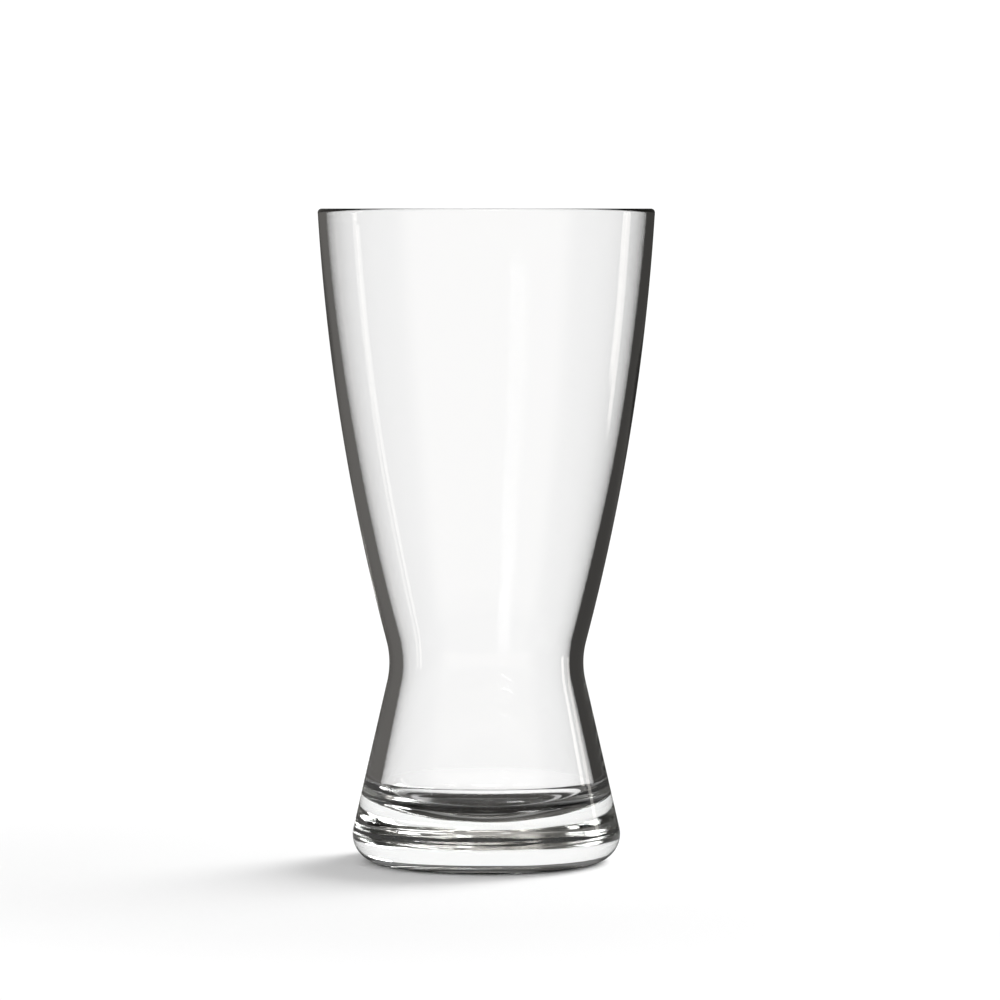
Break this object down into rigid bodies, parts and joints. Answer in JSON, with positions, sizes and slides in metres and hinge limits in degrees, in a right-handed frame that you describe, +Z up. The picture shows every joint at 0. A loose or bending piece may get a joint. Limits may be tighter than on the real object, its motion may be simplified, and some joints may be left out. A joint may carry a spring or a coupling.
{
  "type": "mixing glass",
  "caption": "Clear heavy-based bar mixing glass with a tall flaring bowl, a narrow waist and a conical foot, open at the top and resting on a flat ring.",
  "frame": {"origin": "middle of the bearing ring, at the level of the surface that the glass stands on", "axes": "+Z up along the axis of revolution, towards the mouth; the glass is the same all round, so +X and +Y are any two square directions"},
  "size_m": [0.088, 0.088, 0.171],
  "materials": {
    "clear_glass": "fire-polished clear soda-lime glass, smooth inside and out"
  },
  "bodies": {
    "root": {"glass_body": "clear_glass"}
  },
  "joints": []
}
